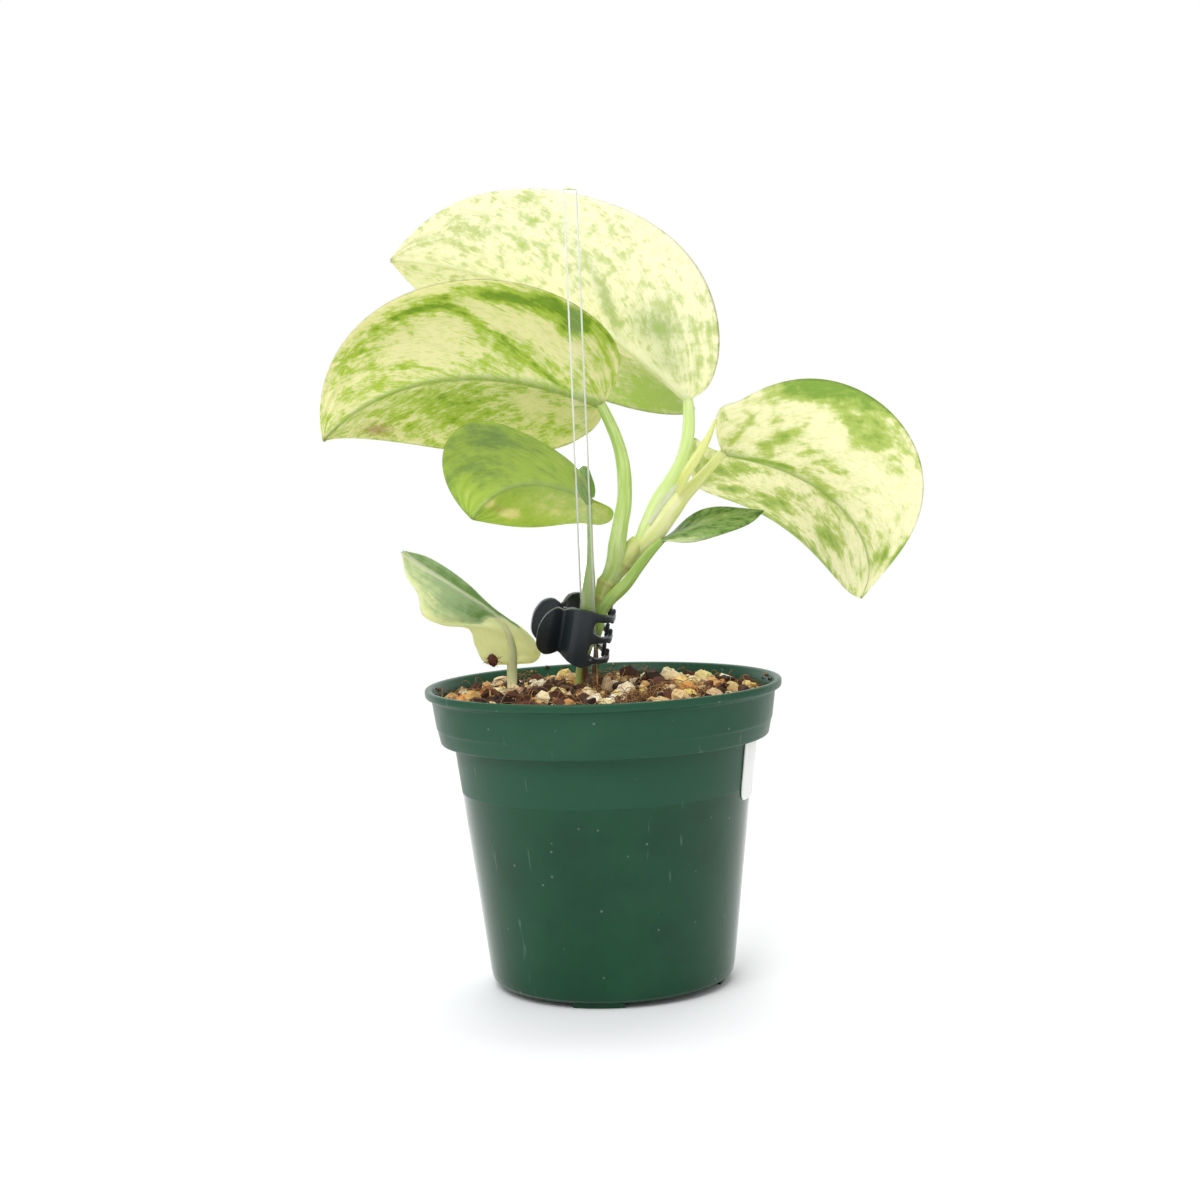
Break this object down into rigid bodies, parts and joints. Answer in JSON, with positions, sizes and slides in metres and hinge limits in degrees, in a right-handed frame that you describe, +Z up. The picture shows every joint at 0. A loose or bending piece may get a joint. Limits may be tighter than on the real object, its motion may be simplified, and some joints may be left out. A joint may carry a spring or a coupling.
{
  "type": "potted marble queen pothos",
  "caption": "Young variegated vine with heart-shaped leaves in a tapered nursery pot, held to a clear square stake by a small claw clip",
  "frame": {"origin": "on the ground under the pot's axis, at the centre of the small pad under the pot's floor, level with the feet", "axes": "+Z up along the pot's axis, -Y the front, the side seen in the picture, +X to the right of that view"},
  "size_m": [0.17, 0.1172, 0.2328],
  "materials": {
    "pot": "semi-gloss moulded plastic",
    "label": "matte sticker",
    "potting_mix": "moist and crumbly",
    "stake": "clear, polished",
    "clip": "semi-gloss",
    "steel": "bright drawn wire",
    "stem": "waxy green stem",
    "stalks": "waxy green stalk",
    "old_stalk": "pale dull stalk",
    "sheath": "dry and papery",
    "roots": "corky brown",
    "leaf_cream": "waxy, cream marbled with green",
    "leaf_marbled": "waxy, green marbled with cream",
    "leaf_green": "waxy green",
    "leaf_dark": "glossy dark green",
    "leaf_faded": "dull, fading",
    "bark": "rough bark",
    "bark_orange": "rough bark",
    "peat_clods": "fibrous, matte",
    "husk": "dry husk",
    "pumice": "porous stone, dusty",
    "perlite": "foamed glass grain, matte"
  },
  "bodies": {
    "plant": {"pot": "pot", "label": "label", "potting_mix": "potting_mix", "stake": "stake", "clip_rear_jaw": "clip", "clip_pin": "steel", "clip_spring": "steel", "main_stem": "stem", "stalk_upper": "stalks", "stalk_right": "stalks", "stalk_left": "stalks", "stalk_young": "stalks", "stalk_small": "stalks", "new_leaf_spear": "stalks", "stalk_old": "old_stalk", "papery_sheath": "sheath", "aerial_root_1": "roots", "aerial_root_2": "roots", "leaf_upper": "leaf_cream", "leaf_left": "leaf_marbled", "leaf_right": "leaf_marbled", "leaf_small": "leaf_green", "leaf_young": "leaf_dark", "leaf_old": "leaf_faded", "bark_chip_1": "bark", "bark_chip_2": "bark", "bark_chip_3": "bark", "bark_chip_4": "bark_orange", "peat_clod_1": "peat_clods", "peat_clod_2": "peat_clods", "curled_husk": "husk", "pumice_1": "pumice", "pumice_2": "pumice", "pumice_3": "pumice", "pumice_4": "pumice", "pumice_5": "pumice", "pumice_6": "pumice", "pumice_7": "pumice", "pumice_8": "pumice", "pumice_9": "pumice", "pumice_10": "pumice", "pumice_11": "pumice", "pumice_12": "pumice", "perlite_1": "perlite", "perlite_2": "perlite"},
    "front_jaw": {"clip_front_jaw": "clip"}
  },
  "joints": [
    {"name": "clip_hinge", "type": "hinge", "parent": "plant", "child": "front_jaw", "pos_m": [-0.0115, 0.0005, 0.1005], "axis": [-0.1908, 0.1705, -0.9667], "range_deg": [0, 30], "stiffness_Nm_per_rad": 0.02, "springref_deg": -28.65}
  ]
}
